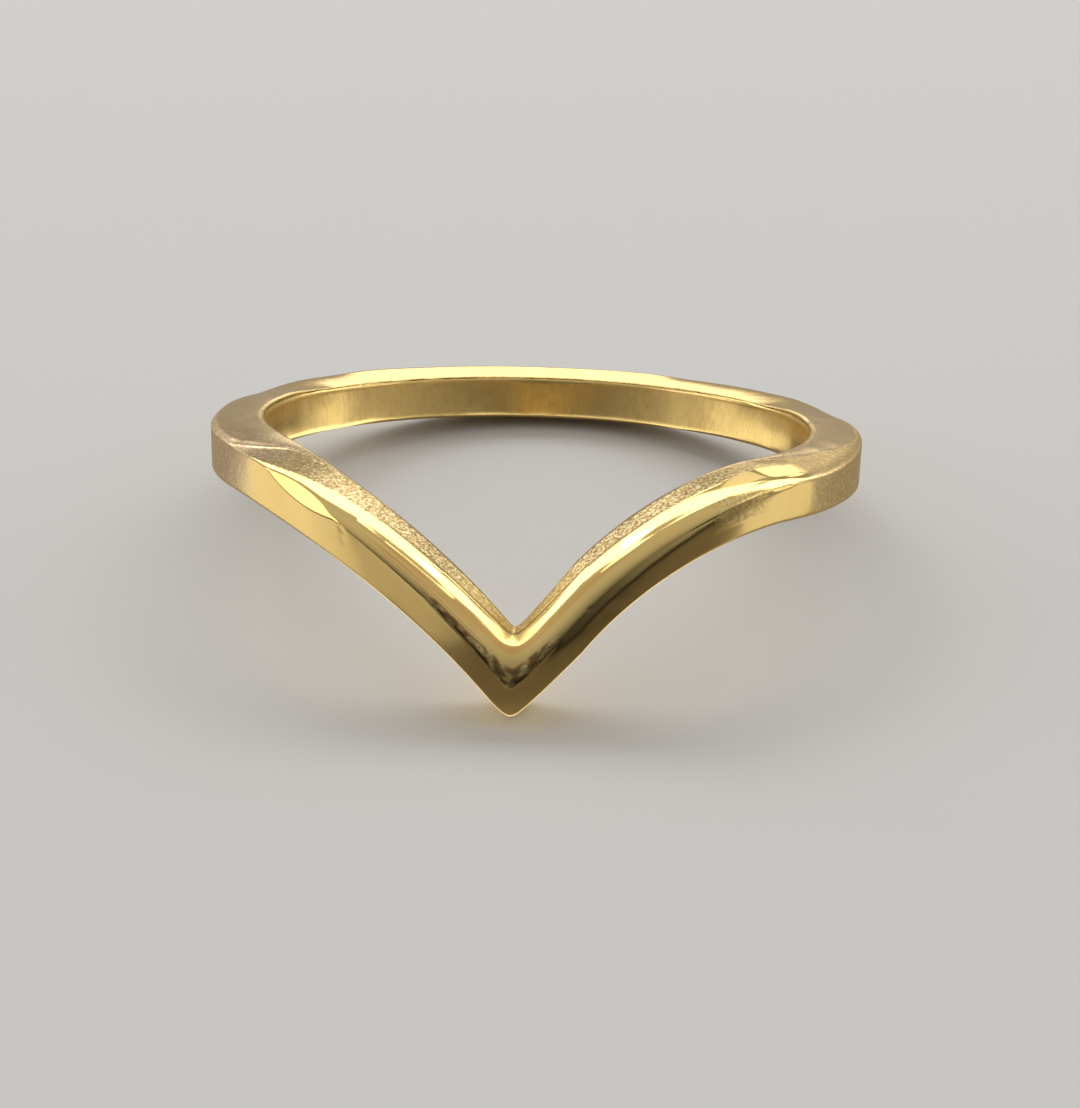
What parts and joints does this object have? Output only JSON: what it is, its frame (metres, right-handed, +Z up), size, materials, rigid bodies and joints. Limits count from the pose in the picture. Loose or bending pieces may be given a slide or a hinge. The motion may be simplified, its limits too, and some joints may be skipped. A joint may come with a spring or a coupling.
{
  "type": "chevron ring",
  "caption": "Slim yellow gold finger ring: a flat narrow band whose domed front arms run down to a blunt V point, lying on its side.",
  "frame": {"origin": "on the surface that the ring lies on, under the middle of its bounding box", "axes": "+Z up from the surface, -Y to the front where the point is, +X to the right seen from the front"},
  "size_m": [0.0206, 0.0216, 0.0059],
  "materials": {
    "gold": "yellow gold, polished on the domed arms, filed and matt on the shank"
  },
  "bodies": {
    "root": {"chevron_band": "gold"}
  },
  "joints": []
}
